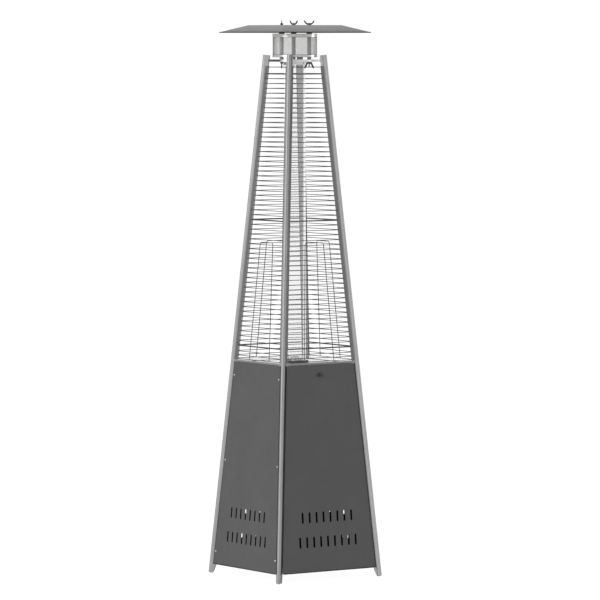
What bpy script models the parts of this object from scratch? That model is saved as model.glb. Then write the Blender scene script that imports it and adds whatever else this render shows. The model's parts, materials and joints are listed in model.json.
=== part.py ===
"""Pyramid gas patio heater: a square, tapering frame with a gas cabinet below, a glass flame tube behind
wire guards above it, a flame screen and a square reflector on top.

Metres, +Z up. The origin is on the floor at the centre of the base. The door is on the -Y side.
"""
import math

import bmesh
import bpy
from mathutils import Matrix, Vector

# ---------------------------------------------------------------- driving dimensions
BASE_HALF = 0.2525            # half the width across the post noses, at the floor
FACE_SLOPE = 0.0764           # how far each face leans in, per metre of height
LEAN = math.atan(FACE_SLOPE)
FRAME_TOP = 2.100             # top of the posts, at their outer edge
FOOT_CLEARANCE = 0.002        # the posts end this far above the floor
FOOT_TAPER = 0.018            # height of the tapered heel of a post
GAP = 0.0003                  # between pieces that touch

NOSE_HALF = 0.0075            # post section: rounded nose, then a wider body behind it
NOSE_DEPTH = 0.017
BODY_HALF = 0.012
POST_DEPTH = 0.027
POST_WALL = 0.0018
SPLICE_Z = 0.930              # where the lower and upper posts meet
SLEEVE_HALF_LENGTH = 0.050

SHEET = 0.0012
PANEL_LOW = 0.0370
PANEL_HIGH = 0.8625
PANEL_DEPTH = 0.0048          # from the plane of the post noses to the middle of the sheet
PANEL_EDGE = 0.0232           # from the post nose to the panel's edge, along the face
PANEL_CORNER = (0.032, 0.0070)            # how wide and how tall the rounding of an upper corner is
DOOR_EDGE = 0.0238
DOOR_NOTCH = (0.0275, 0.0410, 0.0418)     # edge, inner and outer height of the cut that clears the posts
SLOT_PITCH = 0.0337
SLOT_HEIGHT = 0.045
SLOT_WIDTH = 0.009
SLOT_ROWS = ((0.254, 8), (0.156, 9))      # height of the row, slots in it

TRAY_LOW = 0.8565
TRAY_HIGH = 0.8705
TRAY_DEPTH = 0.0059
TRAY_TOP = TRAY_LOW + SHEET

GRILLE_DEPTH = 0.0092         # to the middle of the wires
GRILLE_THICKNESS = 0.0025
WIRE = 0.0028
BAR = 0.0055
GRILLE_EDGE = 0.0282
GRILLE_BORDER = 0.0030
BAR_HEIGHTS = (2.023, 1.4355, 0.927)
WIRES_BETWEEN_BARS = (9, 8)               # every third wire: the ones between are surface detail
LONE_WIRES = (2.0500, 0.9045, 0.8880, 0.8738)

LOOP_TOP = 1.347
LOOP_LOW = 0.8730
LOOP_TOP_WIDTH = 0.090
LOOP_LOW_WIDTH = 0.143
LOOP_RADIUS = 0.0015
LOOP_CORNER = 0.010

GLASS_RADIUS = 0.0445
GLASS_WALL = 0.003
GLASS_TOP = 2.070
SCREEN_RADIUS = 0.090
SCREEN_LOW = 2.090
SCREEN_HIGH = 2.184
STUD_CIRCLE = 0.064
STUD_ANGLES = (180.0, 300.0, 60.0)
STUD_RADIUS = 0.003
SPACER_RADIUS = 0.008
STUD_TOP = 2.2270
STUD_LOW = 2.0520
UPPER_WING_TURNS = (54.75, 24.75, 45.75)      # how far each pair of wings is turned from the radius
LOWER_WING_TURNS = (60.0, 48.0, 60.0)
LOWER_WING_SCALE = 1.12
PLATE_LOW = 2.0715
PLATE_THICKNESS = 0.009
REFLECTOR_HALF = 0.2190
REFLECTOR_FLAT_HALF = 0.135
REFLECTOR_RIM = 2.1900
REFLECTOR_FLAT = 2.2185
REFLECTOR_SHEET = 0.0010

HINGE_DEPTH = 0.0082
HINGE_Z = 0.0385
HINGE_ROD = 0.0016
KNUCKLE = 0.0034
LATCH_X = -0.005
LATCH_Z = 0.820
LATCH_SHAFT = 0.004
BLADE_REACH = 0.048           # the latch's blade, from the middle of its shaft

CONTROL_Z = 0.806
CONTROL_FRONT = -0.125        # back of the control box's front plate
VALVE_X = -0.025
IGNITER_X = 0.027

SHELF_Z = 0.058
WHEEL_RADIUS = 0.022
WHEEL_WIDTH = 0.018
WHEEL_X = 0.123
WHEEL_Y = 0.2145
AXLE_Z = 0.0325               # the wheels clear the ground until the heater is tipped back on them
AXLE_RADIUS = 0.004

SIDES = {"front": 0.0, "right": 90.0, "back": 180.0, "left": 270.0}
CORNERS = {"front_left": 0.0, "front_right": 90.0, "back_right": 180.0, "back_left": 270.0}

ROUND = 28
FINE_ROUND = 36


# ---------------------------------------------------------------- scene and materials
def clear_scene():
    for item in list(bpy.data.objects):
        bpy.data.objects.remove(item, do_unlink=True)


def new_collection(name):
    collection = bpy.data.collections.new(name)
    bpy.context.scene.collection.children.link(collection)
    return collection


clear_scene()
PARTS = new_collection("patio_heater")
CUTTERS = new_collection("cutters")


def material(name, colour, roughness, metallic):
    made = bpy.data.materials.new(name)
    made.use_nodes = True
    shader = made.node_tree.nodes["Principled BSDF"]
    shader.inputs["Base Color"].default_value = (*colour, 1.0)
    shader.inputs["Roughness"].default_value = roughness
    shader.inputs["Metallic"].default_value = metallic
    made.diffuse_color = (*colour, 1.0)
    return made


STEEL = ((0.62, 0.62, 0.61), 0.35, 0.9)
DARK_PAINT = ((0.13, 0.13, 0.13), 0.5, 0.0)
WIRE_PAINT = ((0.16, 0.16, 0.16), 0.45, 0.2)
BLACK_PLASTIC = ((0.03, 0.03, 0.03), 0.5, 0.0)
REFLECTOR_STEEL = ((0.42, 0.41, 0.40), 0.4, 0.9)
GLASS = ((0.9, 0.92, 0.93), 0.05, 0.0)
BRASS = ((0.62, 0.47, 0.2), 0.35, 1.0)
CERAMIC = ((0.85, 0.83, 0.78), 0.4, 0.0)
RUBBER = ((0.04, 0.04, 0.04), 0.8, 0.0)


def finish(item, look):
    item.data.materials.append(material(item.name, *look))
    PARTS.objects.link(item)
    return item


def as_cutter(item):
    item.hide_render = True
    item.display_type = "WIRE"
    CUTTERS.objects.link(item)
    return item


def boolean(target, tool, operation="DIFFERENCE"):
    modifier = target.modifiers.new(operation.lower(), "BOOLEAN")
    modifier.operation = operation
    modifier.solver = "EXACT"
    modifier.object = tool


# ---------------------------------------------------------------- shape helpers
def object_from(bm, name, matrix=Matrix.Identity(4), smooth=False):
    mesh = bpy.data.meshes.new(name)
    bm.to_mesh(mesh)
    bm.free()
    if smooth:
        mesh.shade_smooth()
        mesh.set_sharp_from_angle(angle=math.radians(35))
    item = bpy.data.objects.new(name, mesh)
    item.matrix_world = matrix
    return item


def box(name, low, high, matrix=Matrix.Identity(4)):
    low, high = Vector(low), Vector(high)
    bm = bmesh.new()
    bmesh.ops.create_cube(bm, size=1.0)
    bmesh.ops.scale(bm, vec=high - low, verts=bm.verts)
    bmesh.ops.translate(bm, vec=(high + low) / 2, verts=bm.verts)
    return object_from(bm, name, matrix)


def cylinder(name, radius, start, end, segments=ROUND, radius_end=None):
    start, end = Vector(start), Vector(end)
    along = end - start
    bm = bmesh.new()
    bmesh.ops.create_cone(bm, cap_ends=True, segments=segments, radius1=radius,
                          radius2=radius if radius_end is None else radius_end, depth=along.length)
    matrix = Matrix.Translation((start + end) / 2) @ along.to_track_quat("Z", "Y").to_matrix().to_4x4()
    return object_from(bm, name, matrix, smooth=True)


def turned(name, profile, steps=ROUND, ring=False, matrix=Matrix.Identity(4)):
    """A profile of (radius, height) points turned about Z; ring closes a profile that never meets Z."""
    bm = bmesh.new()
    points = [bm.verts.new((radius, 0.0, height)) for radius, height in profile]
    for first, second in zip(points, points[1:]):
        bm.edges.new((first, second))
    if ring:
        bm.edges.new((points[-1], points[0]))
    item = object_from(bm, name, matrix)
    screw = item.modifiers.new("turn", "SCREW")
    screw.steps = screw.render_steps = steps
    screw.use_merge_vertices = True
    screw.merge_threshold = 0.00001
    screw.use_smooth_shade = False
    return item


def plate(name, outlines, thickness, matrix):
    """A flat sheet from closed outlines: the first is the edge, the others are holes."""
    curve = bpy.data.curves.new(name, "CURVE")
    curve.dimensions = "2D"
    curve.fill_mode = "BOTH"
    curve.extrude = thickness / 2
    for outline in outlines:
        spline = curve.splines.new("POLY")
        spline.points.add(len(outline) - 1)
        for point, (x, y) in zip(spline.points, outline):
            point.co = (x, y, 0.0, 1.0)
        spline.use_cyclic_u = True
    item = bpy.data.objects.new(name, curve)
    item.matrix_world = matrix
    return item


def wire(name, points, radius, resolution=1):
    curve = bpy.data.curves.new(name, "CURVE")
    curve.dimensions = "3D"
    curve.bevel_depth = radius
    curve.bevel_resolution = resolution
    curve.use_fill_caps = True
    spline = curve.splines.new("POLY")
    spline.points.add(len(points) - 1)
    for point, place in zip(spline.points, points):
        point.co = (*place, 1.0)
    return bpy.data.objects.new(name, curve)


def meshed(item):
    """The same shape as a welded mesh, so that it can be cut or joined."""
    bpy.context.scene.collection.objects.link(item)
    evaluated = item.evaluated_get(bpy.context.evaluated_depsgraph_get())
    mesh = bpy.data.meshes.new_from_object(evaluated)
    bm = bmesh.new()
    bm.from_mesh(mesh)
    bmesh.ops.remove_doubles(bm, verts=bm.verts, dist=0.00001)
    bmesh.ops.recalc_face_normals(bm, faces=bm.faces)
    bm.to_mesh(mesh)
    bm.free()
    name = item.name
    made = bpy.data.objects.new(name + "_mesh", mesh)
    made.matrix_world = item.matrix_world.copy()
    bpy.data.objects.remove(item, do_unlink=True)
    made.name = name
    return made


def arc(centre, radius, start_degrees, end_degrees, steps):
    """Points along an arc, both ends included."""
    turn = (end_degrees - start_degrees) / steps
    angles = (math.radians(start_degrees + turn * step) for step in range(steps + 1))
    return [(centre[0] + radius * math.cos(a), centre[1] + radius * math.sin(a)) for a in angles]


# ---------------------------------------------------------------- the tapering frame
def face_half(z):
    """Half the width across the post noses at height z."""
    return BASE_HALF - FACE_SLOPE * z


def face_matrix(side, depth):
    """Local X along the face, local Y up its slope, local Z outwards; depth is from the noses' plane."""
    turn = Matrix.Rotation(math.radians(SIDES[side]), 4, "Z")
    return turn @ Matrix.Translation((0, depth - BASE_HALF, 0)) @ Matrix.Rotation(math.pi / 2 - LEAN, 4, "X")


def on_slope(points):
    """Points given as (x, height) become points along the slope of a face."""
    return [(x, z / math.cos(LEAN)) for x, z in points]


def corner_matrix(corner):
    """Local X runs out along the diagonal of this corner and local Y across it."""
    return Matrix.Rotation(math.radians(CORNERS[corner] - 135.0), 4, "Z")


def post_outline(inset):
    """Section of a post: (depth behind the nose tip, offset across)."""
    nose = arc((NOSE_HALF, 0.0), NOSE_HALF - inset, 90, 270, 8)
    neck, back = NOSE_DEPTH + inset, POST_DEPTH - inset
    half = BODY_HALF - inset
    return [(neck, NOSE_HALF - inset)] + nose + [(neck, inset - NOSE_HALF), (neck, -half), (back, -half),
                                                 (back, half), (neck, half)]


def leaning(outline, low, high, capped):
    """An outline across a corner's diagonal, swept up along the leaning post line, as a bmesh."""
    diagonal = BASE_HALF * math.sqrt(2)
    inward = FACE_SLOPE * math.sqrt(2)
    bm = bmesh.new()
    ring = [bm.verts.new((diagonal - inward * low - depth, across, low)) for depth, across in outline]
    edges = [bm.edges.new((ring[i], ring[(i + 1) % len(ring)])) for i in range(len(ring))]
    geometry = [bm.faces.new(ring)] if capped else edges
    extrude = bmesh.ops.extrude_face_region if capped else bmesh.ops.extrude_edge_only
    grown = extrude(bm, **{"geom" if capped else "edges": geometry})
    moved = [part for part in grown["geom"] if isinstance(part, bmesh.types.BMVert)]
    bmesh.ops.translate(bm, vec=Vector((-inward * (high - low), 0.0, high - low)), verts=moved)
    bmesh.ops.recalc_face_normals(bm, faces=bm.faces)
    return bm


def trim(bm, point, normal):
    """Removes what lies on the side that the normal points to."""
    geometry = list(bm.verts) + list(bm.edges) + list(bm.faces)
    bmesh.ops.bisect_plane(bm, geom=geometry, dist=0.0000001, plane_co=point, plane_no=normal,
                           clear_outer=True)


def post(name, corner, low, high, foot=False, square_top=False):
    bm = leaning(post_outline(0.0), low, high + 0.02 * square_top, capped=False)
    diagonal = BASE_HALF * math.sqrt(2)
    if foot:
        shoulder = low + FOOT_TAPER
        trim(bm, Vector((diagonal - POST_DEPTH, 0, shoulder)), Vector((-0.914, 0, -0.406)))
    if square_top:
        outer = diagonal - FACE_SLOPE * math.sqrt(2) * high
        trim(bm, Vector((outer, 0, high)), Vector((-FACE_SLOPE * math.sqrt(2), 0, 1)))
    item = object_from(bm, name, corner_matrix(corner), smooth=True)
    wall = item.modifiers.new("wall", "SOLIDIFY")
    wall.thickness = POST_WALL
    wall.offset = -1.0
    wall.use_even_offset = True
    return finish(item, STEEL)


def make_posts():
    for corner in CORNERS:
        post("lower_post_" + corner, corner, FOOT_CLEARANCE, SPLICE_Z - GAP / 2, foot=True)
        post("upper_post_" + corner, corner, SPLICE_Z + GAP / 2, FRAME_TOP, square_top=True)
        bm = leaning(post_outline(POST_WALL + 2 * GAP), SPLICE_Z - SLEEVE_HALF_LENGTH,
                     SPLICE_Z + SLEEVE_HALF_LENGTH, capped=True)
        finish(object_from(bm, "splice_sleeve_" + corner, corner_matrix(corner)), STEEL)
        glide_x = BASE_HALF * math.sqrt(2) - 0.0125
        glide = turned("foot_glide_" + corner,
                       [(0.0, FOOT_CLEARANCE - GAP), (0.0065, FOOT_CLEARANCE - GAP), (0.0065, 0.0008),
                        (0.0058, 0.0), (0.0, 0.0)], steps=16,
                       matrix=corner_matrix(corner) @ Matrix.Translation((glide_x, 0, 0)))
        finish(glide, RUBBER)


# ---------------------------------------------------------------- cabinet panels and door
def slot_outline(x, z):
    """An upright slot with round ends."""
    reach = SLOT_HEIGHT / 2 - SLOT_WIDTH / 2
    return arc((x, z + reach), SLOT_WIDTH / 2, 0, 180, 3) + arc((x, z - reach), SLOT_WIDTH / 2, 180, 360, 3)


def slots():
    return [slot_outline((index - (count - 1) / 2) * SLOT_PITCH, z)
            for z, count in SLOT_ROWS for index in range(count)]


def panel_outline(edge, notch=None):
    """A trapezium whose upper corners droop in a quarter ellipse; its lower ones may be notched."""
    width, drop = PANEL_CORNER
    top_half = face_half(PANEL_HIGH - drop) - edge
    corner = [(top_half - width + width * x, PANEL_HIGH - drop + drop * y)
              for x, y in arc((0.0, 0.0), 1.0, 0, 90, 6)]
    if notch:
        notch_edge, inner_z, outer_z = notch
        foot = [(face_half(PANEL_LOW) - notch_edge, PANEL_LOW), (face_half(inner_z) - notch_edge, inner_z),
                (face_half(outer_z) - edge, outer_z)]
    else:
        foot = [(face_half(PANEL_LOW) - edge, PANEL_LOW)]
    right = foot + corner
    return right + [(-x, z) for x, z in reversed(right)]


def make_panels():
    for side in ("right", "back", "left"):
        outlines = [on_slope(outline) for outline in [panel_outline(PANEL_EDGE)] + slots()]
        finish(plate("panel_" + side, outlines, SHEET, face_matrix(side, PANEL_DEPTH)), DARK_PAINT)


def make_door():
    """The door carries two knuckles behind its lower edge, and a hole for the latch."""
    matrix = face_matrix("front", PANEL_DEPTH)
    door = meshed(plate("door", [on_slope(panel_outline(DOOR_EDGE, DOOR_NOTCH))], SHEET, matrix))
    latch_hole = arc((LATCH_X, LATCH_Z), LATCH_SHAFT + GAP, 0, 345, 23)
    holes = [on_slope(outline) for outline in slots() + [latch_hole]]
    boolean(door, as_cutter(meshed(plate("door_holes", holes, 4 * SHEET, matrix))))
    hinge_y = HINGE_DEPTH - face_half(HINGE_Z)
    for sign in (-1, 1):
        inner, outer = 0.150 * sign, 0.185 * sign
        knuckle = turned("knuckle", [(HINGE_ROD + 2 * GAP, 0.035), (KNUCKLE, 0.035), (KNUCKLE, 0.0),
                                     (HINGE_ROD + 2 * GAP, 0.0)], steps=16, ring=True)
        knuckle.matrix_world = (Matrix.Translation((min(inner, outer), hinge_y, HINGE_Z))
                                @ Matrix.Rotation(math.pi / 2, 4, "Y"))
        boolean(door, as_cutter(knuckle), "UNION")
    finish(door, DARK_PAINT)
    reach = face_half(HINGE_Z) - 0.0275
    finish(cylinder("door_hinge_rod", HINGE_ROD, (-reach, hinge_y, HINGE_Z), (reach, hinge_y, HINGE_Z), 16),
           STEEL)


def make_latch():
    """Quarter-turn latch: a flat three-cornered knob, a shaft through the door and a blade behind it."""
    matrix = face_matrix("front", PANEL_DEPTH) @ Matrix.Translation((LATCH_X, LATCH_Z / math.cos(LEAN), 0))
    corner = 0.0025
    outline = (arc((0.0, 0.0050), corner, 45, 135, 4) + arc((-0.0090, -0.0035), corner, 135, 270, 5)
               + arc((0.0090, -0.0035), corner, 270, 405, 5))
    latch = meshed(plate("door_latch", [outline], 0.0060, matrix @ Matrix.Translation((0, 0, 0.0043))))
    shaft = cylinder("latch_shaft", LATCH_SHAFT, matrix @ Vector((0, 0, -0.0055)),
                     matrix @ Vector((0, 0, 0.0040)), 24)
    blade = box("blade", (-0.006, -0.006, -0.0050), (BLADE_REACH, 0.006, -0.0030), matrix)
    boolean(latch, as_cutter(shaft), "UNION")
    boolean(latch, as_cutter(blade), "UNION")
    finish(latch, BLACK_PLASTIC)


# ---------------------------------------------------------------- trays
def pan(name, low, high, front_setback=0.0, depth=TRAY_DEPTH):
    """An open-topped pan that follows the lean of the faces, notched at the corners for the posts."""
    bm = bmesh.new()
    bmesh.ops.create_cube(bm, size=2.0)
    for vert in bm.verts:
        vert.co.z = high if vert.co.z > 0 else low
        half = face_half(vert.co.z) - depth
        vert.co.x *= half
        vert.co.y *= half - (front_setback if vert.co.y < 0 else 0.0)
    top = [face for face in bm.faces if face.normal.z > 0.9]
    bmesh.ops.delete(bm, geom=top, context="FACES")
    item = object_from(bm, name)
    wall = item.modifiers.new("sheet", "SOLIDIFY")
    wall.thickness = SHEET
    wall.offset = -1.0
    wall.use_even_offset = True
    for corner in CORNERS:
        notch = leaning([(-0.02, -BODY_HALF - 0.0006), (POST_DEPTH + 0.0006, -BODY_HALF - 0.0006),
                         (POST_DEPTH + 0.0006, BODY_HALF + 0.0006), (-0.02, BODY_HALF + 0.0006)],
                        low - 0.02, high + 0.02, capped=True)
        boolean(item, as_cutter(object_from(notch, name + "_notch", corner_matrix(corner))))
    return item


def make_trays():
    tray = pan("burner_tray", TRAY_LOW, TRAY_HIGH)
    hole = cylinder("burner_hole", 0.0155, (0, 0, TRAY_LOW - 0.01), (0, 0, TRAY_LOW + 0.01))
    boolean(tray, as_cutter(hole))
    upright = face_matrix("front", PANEL_DEPTH) @ Matrix.Diagonal((1, 1 / math.cos(LEAN), 1, 1))
    slot = box("latch_slot", (LATCH_X - 0.0075, TRAY_LOW - 0.0020, -0.0058),
               (LATCH_X + 0.0340, TRAY_TOP + 0.0020, -0.0026), upright)
    boolean(tray, as_cutter(slot))
    finish(tray, STEEL)
    shelf = pan("cylinder_shelf", SHELF_Z, SHELF_Z + 0.014, front_setback=0.014, depth=0.0064)
    finish(shelf, DARK_PAINT)


# ---------------------------------------------------------------- wire guards
def bar_centres():
    """Every bar of a guard from the top down, as (height, bar thickness)."""
    bars = [(z, WIRE) for z in LONE_WIRES] + [(z, BAR) for z in BAR_HEIGHTS]
    for upper, lower, count in zip(BAR_HEIGHTS, BAR_HEIGHTS[1:], WIRES_BETWEEN_BARS):
        pitch = (upper - lower) / (count + 1)
        bars += [(upper - pitch * (index + 1), WIRE) for index in range(count)]
    return sorted(bars, reverse=True)


def make_guards():
    """Flat ladders: two side strips with the bars across them."""
    edges = []
    for centre, size in reversed(bar_centres()):
        edges += [centre - size / 2, centre + size / 2]
    for side in SIDES:
        bm = bmesh.new()
        bmesh.ops.create_grid(bm, x_segments=3, y_segments=len(edges) - 1, size=1.0)
        windows = []
        for face in bm.faces:
            middle = face.calc_center_median()
            row = int((middle.y + 1) / 2 * (len(edges) - 1))
            if abs(middle.x) < 0.3 and row % 2 == 1:
                windows.append(face)
        for vert in bm.verts:
            height = edges[round((vert.co.y + 1) / 2 * (len(edges) - 1))]
            half = face_half(height) - GRILLE_EDGE - GRILLE_BORDER * (abs(vert.co.x) < 0.9)
            vert.co.x = math.copysign(half, vert.co.x)
            vert.co.y = height / math.cos(LEAN)
        bmesh.ops.delete(bm, geom=windows, context="FACES")
        guard = object_from(bm, "guard_" + side, face_matrix(side, GRILLE_DEPTH))
        sheet = guard.modifiers.new("thickness", "SOLIDIFY")
        sheet.thickness = GRILLE_THICKNESS
        sheet.offset = 0.0
        finish(guard, WIRE_PAINT)
        make_guard_loop(side)


def make_guard_loop(side):
    """An upside-down U of wire, just behind the guard."""
    depth = GRILLE_DEPTH + GRILLE_THICKNESS / 2 + LOOP_RADIUS + GAP
    half_top, half_low = LOOP_TOP_WIDTH / 2, LOOP_LOW_WIDTH / 2
    bend = arc((half_top - LOOP_CORNER, LOOP_TOP - LOOP_CORNER), LOOP_CORNER, 8, 90, 4)
    right = [(half_low, LOOP_LOW)] + bend
    points = [(x, y, 0.0) for x, y in on_slope(right + [(-x, z) for x, z in reversed(right)])]
    loop = wire("guard_loop_" + side, points, LOOP_RADIUS)
    loop.matrix_world = face_matrix(side, depth)
    finish(loop, WIRE_PAINT)


# ---------------------------------------------------------------- flame tube and burner
def make_flame_tube():
    seat = TRAY_TOP + GAP
    inner = GLASS_RADIUS - GLASS_WALL - 0.003
    ring = turned("glass_base_ring", [(GLASS_RADIUS + GAP, seat + 0.010), (0.0550, seat + 0.010),
                                      (0.0550, seat), (inner, seat), (inner, seat + 0.0025),
                                      (GLASS_RADIUS + GAP, seat + 0.0025)], steps=FINE_ROUND, ring=True)
    finish(ring, BLACK_PLASTIC)
    low = seat + 0.0025 + GAP
    tube = turned("glass_tube", [(GLASS_RADIUS - GLASS_WALL, GLASS_TOP), (GLASS_RADIUS, GLASS_TOP),
                                 (GLASS_RADIUS, low), (GLASS_RADIUS - GLASS_WALL, low)],
                  steps=FINE_ROUND, ring=True)
    finish(tube, GLASS)
    collar_low, collar_high = 2.0580, PLATE_LOW - GAP
    collar = turned("glass_top_collar", [(GLASS_RADIUS - GLASS_WALL - 0.002, collar_high),
                                         (0.0480, collar_high), (0.0480, collar_low),
                                         (GLASS_RADIUS + 2 * GAP, collar_low),
                                         (GLASS_RADIUS + 2 * GAP, GLASS_TOP + GAP),
                                         (GLASS_RADIUS - GLASS_WALL - 0.002, GLASS_TOP + GAP)],
                    steps=FINE_ROUND, ring=True)
    finish(collar, STEEL)


def make_burner():
    floor = TRAY_TOP + GAP
    head = turned("burner_head", [(0.0, floor + 0.028), (0.014, floor + 0.026), (0.021, floor + 0.019),
                                  (0.022, floor + 0.003), (0.025, floor + 0.002), (0.025, floor),
                                  (0.0150, floor), (0.0150, TRAY_LOW - 0.012), (0.0, TRAY_LOW - 0.012)])
    finish(head, STEEL)
    electrode = turned("igniter_electrode", [(0.0, floor + 0.033), (0.0008, floor + 0.033),
                                             (0.0008, floor + 0.020), (0.0024, floor + 0.019),
                                             (0.0024, floor + 0.003), (0.0042, floor + 0.002),
                                             (0.0042, floor), (0.0, floor)], steps=16,
                       matrix=Matrix.Translation((0.0315, 0.0, 0.0)))
    finish(electrode, CERAMIC)
    probe = turned("thermocouple", [(0.0, floor + 0.036), (0.0016, floor + 0.034), (0.0016, floor + 0.006),
                                    (0.0040, floor + 0.005), (0.0040, floor), (0.0, floor)], steps=16,
                   matrix=Matrix.Translation((-0.0315, 0.0, 0.0)))
    finish(probe, BRASS)


# ---------------------------------------------------------------- gas controls, under the tray
def make_controls():
    top = TRAY_LOW - GAP
    front = CONTROL_FRONT - SHEET
    low = CONTROL_Z - 0.028
    bm = bmesh.new()
    bmesh.ops.create_cube(bm, size=1.0)
    bmesh.ops.scale(bm, vec=(0.130, 0.060, top - low), verts=bm.verts)
    bmesh.ops.translate(bm, vec=(0.0, front + 0.030, (top + low) / 2), verts=bm.verts)
    bmesh.ops.delete(bm, geom=[face for face in bm.faces if face.normal.y > 0.9], context="FACES")
    case = object_from(bm, "control_box")
    wall = case.modifiers.new("sheet", "SOLIDIFY")
    wall.thickness = SHEET
    wall.offset = -1.0
    wall.use_even_offset = True
    for x, radius in ((VALVE_X, 0.0060), (IGNITER_X, 0.0064)):
        boolean(case, as_cutter(cylinder("control_hole", radius, (x, front - 0.01, CONTROL_Z),
                                         (x, front + 0.01, CONTROL_Z))))
    boolean(case, as_cutter(cylinder("inlet_hole", 0.0085, (VALVE_X, -0.104, low - 0.01),
                                     (VALVE_X, -0.104, low + 0.01))))
    finish(case, STEEL)

    valve = box("gas_valve", (VALVE_X - 0.016, CONTROL_FRONT + 0.0015, CONTROL_Z - 0.018),
                (VALVE_X + 0.016, CONTROL_FRONT + 0.0400, CONTROL_Z + 0.018))
    inlet = turned("inlet", [(0.0, CONTROL_Z - 0.010), (0.0070, CONTROL_Z - 0.010),
                             (0.0070, CONTROL_Z - 0.032),
                             (0.0050, CONTROL_Z - 0.033), (0.0060, CONTROL_Z - 0.040),
                             (0.0050, CONTROL_Z - 0.041), (0.0060, CONTROL_Z - 0.048),
                             (0.0048, CONTROL_Z - 0.052), (0.0, CONTROL_Z - 0.052)], steps=20,
                   matrix=Matrix.Translation((VALVE_X, -0.104, 0.0)))
    boolean(valve, as_cutter(inlet), "UNION")
    boolean(valve, as_cutter(cylinder("valve_bore", 0.0034, (VALVE_X, CONTROL_FRONT - 0.005, CONTROL_Z),
                                      (VALVE_X, CONTROL_FRONT + 0.0270, CONTROL_Z), 20)))
    finish(valve, BRASS)

    start = CONTROL_FRONT + 0.0400 + 4 * GAP
    end = TRAY_LOW - 0.012 - GAP
    knots = [Vector((VALVE_X, start, CONTROL_Z)), Vector((VALVE_X, start + 0.022, CONTROL_Z)),
             Vector((-0.004, -0.016, CONTROL_Z)), Vector((0.0, -0.002, CONTROL_Z + 0.006)),
             Vector((0.0, 0.0, CONTROL_Z + 0.018)), Vector((0.0, 0.0, end))]
    finish(wire("supply_pipe", smooth_route(knots, 4), 0.0040, resolution=2), BRASS)

    plunger = cylinder("valve_plunger", 0.0030, (VALVE_X, front - 0.0190, CONTROL_Z),
                       (VALVE_X, CONTROL_FRONT + 0.0200, CONTROL_Z), 20)
    finish(plunger, BRASS)
    facing = Matrix.Rotation(math.pi / 2, 4, "X")
    bore = 0.0030 + GAP
    knob = turned("control_knob", [(0.0, 0.0240), (0.0130, 0.0240), (0.0150, 0.0220), (0.0165, 0.0080),
                                   (bore, 0.0080), (bore, 0.0195), (0.0, 0.0195)], steps=ROUND,
                  matrix=Matrix.Translation((VALVE_X, front, CONTROL_Z)) @ facing)
    grip = box("knob_grip", (VALVE_X - 0.003, front - 0.0290, CONTROL_Z - 0.0155),
               (VALVE_X + 0.003, front - 0.0215, CONTROL_Z + 0.0155))
    boolean(knob, as_cutter(grip), "UNION")
    finish(knob, BLACK_PLASTIC)
    button = turned("igniter_button", [(0.0, 0.0105), (0.0080, 0.0105), (0.0090, 0.0095), (0.0090, 0.0060),
                                       (0.0058, 0.0060), (0.0058, -0.0150), (0.0, -0.0150)], steps=24,
                    matrix=Matrix.Translation((IGNITER_X, front, CONTROL_Z)) @ facing)
    finish(button, BLACK_PLASTIC)

    switch = box("tilt_switch", (0.084, 0.060, top - 0.020), (0.112, 0.088, top))
    edge = switch.modifiers.new("edge", "BEVEL")
    edge.width = 0.0015
    edge.segments = 2
    finish(switch, BLACK_PLASTIC)


def smooth_route(knots, steps):
    """Points along a Catmull-Rom curve through the knots."""
    ends = [knots[0] * 2 - knots[1]] + knots + [knots[-1] * 2 - knots[-2]]
    route = []
    for a, b, c, d in zip(ends, ends[1:], ends[2:], ends[3:]):
        for step in range(steps):
            t = step / steps
            route.append(0.5 * ((2 * b) + (c - a) * t + (2 * a - 5 * b + 4 * c - d) * t ** 2
                                + (3 * b - a - 3 * c + d) * t ** 3))
    return route + [knots[-1]]


# ---------------------------------------------------------------- head: plate, screen, studs, reflector
def stud_places():
    return [(STUD_CIRCLE * math.cos(math.radians(angle)), STUD_CIRCLE * math.sin(math.radians(angle)), angle)
            for angle in STUD_ANGLES]


def make_top_plate():
    """A ring with an arm to each post."""
    reach = face_half(PLATE_LOW + PLATE_THICKNESS) * math.sqrt(2) - POST_DEPTH - 0.0008
    arm = 0.010
    ring = 0.080
    swing = math.degrees(math.asin(arm / ring))
    outline = []
    for start in (45, 135, 225, 315):
        heading = math.radians(start)
        along = Vector((math.cos(heading), math.sin(heading)))
        across = Vector((-along.y, along.x))
        for offset in (-arm, arm):
            outline.append(tuple(along * reach + across * offset))
        outline += arc((0, 0), ring, start + swing, start + 90 - swing, 6)
    holes = [arc((0, 0), GLASS_RADIUS - 0.004, 0, 348.75, 31)]
    holes += [arc((x, y), STUD_RADIUS + GAP, 0, 330, 11) for x, y, angle in stud_places()]
    matrix = Matrix.Translation((0, 0, PLATE_LOW + PLATE_THICKNESS / 2))
    finish(plate("top_plate", [outline] + holes, PLATE_THICKNESS, matrix), STEEL)


def make_flame_screen():
    thickness = 0.0012
    screen = turned("flame_screen", [(SCREEN_RADIUS - thickness, SCREEN_HIGH), (SCREEN_RADIUS, SCREEN_HIGH),
                                     (SCREEN_RADIUS, SCREEN_LOW), (SCREEN_RADIUS - thickness, SCREEN_LOW)],
                    steps=FINE_ROUND, ring=True)
    finish(screen, STEEL)


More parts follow.
